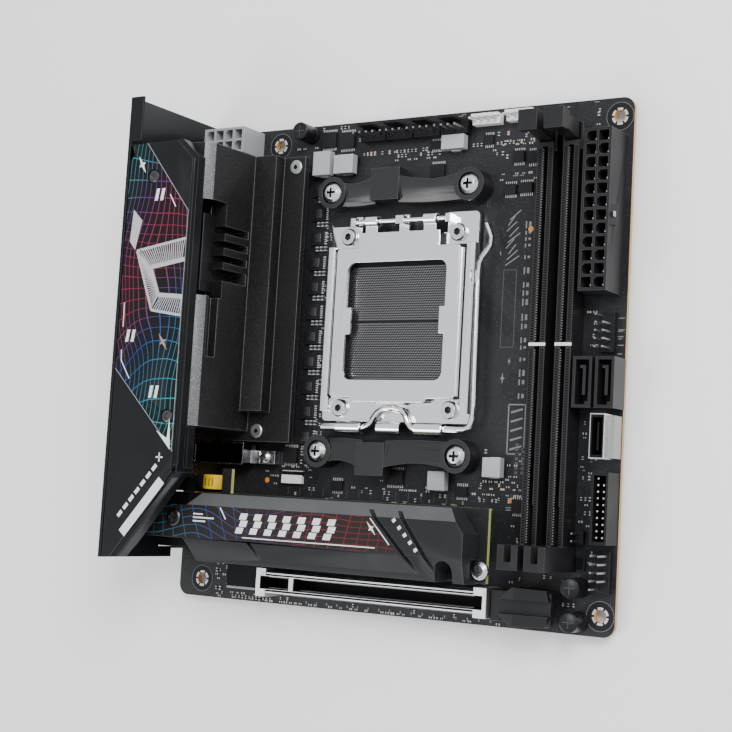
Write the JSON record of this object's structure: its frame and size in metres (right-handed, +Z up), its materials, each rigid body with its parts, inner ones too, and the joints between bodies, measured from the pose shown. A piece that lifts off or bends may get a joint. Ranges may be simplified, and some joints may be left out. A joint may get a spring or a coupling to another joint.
{
  "type": "mini-ITX motherboard",
  "caption": "Small square computer motherboard with a clamped processor socket, memory and card slots, a drive heatsink and a covered rear port bank.",
  "frame": {"origin": "centre of the footprint of the whole object, at its lowest point (underside of the socket backplate and lower edge of the port panel)", "axes": "+X from the rear port edge to the front edge, +Y from the expansion slot to the fan header edge, +Z up out of the component side"},
  "size_m": [0.1728, 0.1742, 0.0476],
  "materials": {
    "board": "satin solder mask",
    "black_plastic": "fine satin",
    "grey_plastic": "fine satin",
    "white_plastic": "satin",
    "contact_housing": "satin with a fine contact grid",
    "bright_steel": "polished nickel",
    "dark_steel": "black satin",
    "heatsink_black": "fine-grained black anodised",
    "cover_black": "smooth satin black with printed line pattern",
    "black_screw": "black oxide",
    "brass_fitting": "gold plated",
    "yellow_wrap": "shrink sleeve"
  },
  "bodies": {
    "board": {"antenna_block": "brass_fitting", "audio_block": "black_plastic", "backplate": "dark_steel", "chipset_heatsink": "heatsink_black", "circuit_board": "board", "cmos_battery": "yellow_wrap", "cooler_bracket_back": "black_plastic", "cooler_bracket_front": "black_plastic", "cooler_screw_1": "bright_steel", "cooler_screw_2": "bright_steel", "cooler_screw_3": "bright_steel", "cooler_screw_4": "bright_steel", "cover_screw_1": "black_screw", "cover_screw_2": "black_screw", "data_port_1": "black_plastic", "data_port_2": "black_plastic", "drive_heatsink": "cover_black", "drive_screw_1": "black_screw", "drive_screw_2": "bright_steel", "expansion_slot": "bright_steel", "fan_header_1": "black_plastic", "fan_header_2": "black_plastic", "fan_header_3": "black_plastic", "fan_header_4": "black_plastic", "frame_screw_1": "bright_steel", "frame_screw_2": "bright_steel", "frame_screw_3": "bright_steel", "frame_screw_4": "bright_steel", "front_usb_port": "bright_steel", "heatsink_insert": "heatsink_black", "heatsink_screw_1": "bright_steel", "heatsink_screw_2": "bright_steel", "io_cover": "cover_black", "io_shield": "cover_black", "lan_port": "bright_steel", "light_header_1": "white_plastic", "light_header_2": "white_plastic", "main_power": "black_plastic", "memory_slot_1": "black_plastic", "memory_slot_2": "black_plastic", "panel_header": "black_plastic", "processor_power": "grey_plastic", "riser_board": "board", "riser_connector": "black_plastic", "socket_frame": "bright_steel", "socket_housing": "contact_housing", "usb2_header": "black_plastic", "usb3_header": "black_plastic", "usb_stack_1": "bright_steel", "usb_stack_2": "bright_steel", "video_port": "bright_steel", "vrm_heatsink": "heatsink_black", "wifi_module": "dark_steel"},
    "load_lever": {"load_lever": "bright_steel"},
    "load_plate": {"load_plate": "bright_steel"},
    "memory_latch_1": {"memory_latch_1": "black_plastic"},
    "memory_latch_2": {"memory_latch_2": "black_plastic"},
    "expansion_latch": {"expansion_latch": "black_plastic"},
    "flash_button": {"flash_button": "black_plastic"},
    "clear_button": {"clear_button": "black_plastic"}
  },
  "joints": [
    {"name": "lever_swing", "type": "hinge", "parent": "board", "child": "load_lever", "pos_m": [0.0046, -0.0249, 0.0083], "axis": [1, 0, 0], "range_deg": [0, 110]},
    {"name": "plate_swing", "type": "hinge", "parent": "board", "child": "load_plate", "pos_m": [0.0046, 0.0458, 0.0091], "axis": [-1, 0, 0], "range_deg": [0, 100]},
    {"name": "memory_latch_1_swing", "type": "hinge", "parent": "board", "child": "memory_latch_1", "pos_m": [0.0598, 0.0711, 0.0081], "axis": [-1, 0, 0], "range_deg": [0, 28]},
    {"name": "memory_latch_2_swing", "type": "hinge", "parent": "board", "child": "memory_latch_2", "pos_m": [0.0688, 0.0711, 0.0081], "axis": [-1, 0, 0], "range_deg": [0, 28]},
    {"name": "expansion_latch_press", "type": "hinge", "parent": "board", "child": "expansion_latch", "pos_m": [0.0505, -0.0793, 0.0081], "axis": [0, 1, 0], "range_deg": [0, 8], "stiffness_Nm_per_rad": 0.02},
    {"name": "flash_button_press", "type": "slide", "parent": "board", "child": "flash_button", "axis": [1, 0, 0], "range_m": [0, 0.0008], "stiffness_N_per_m": 400, "springref_m": -0.0004},
    {"name": "clear_button_press", "type": "slide", "parent": "board", "child": "clear_button", "axis": [1, 0, 0], "range_m": [0, 0.0008], "stiffness_N_per_m": 400, "springref_m": -0.0004}
  ]
}
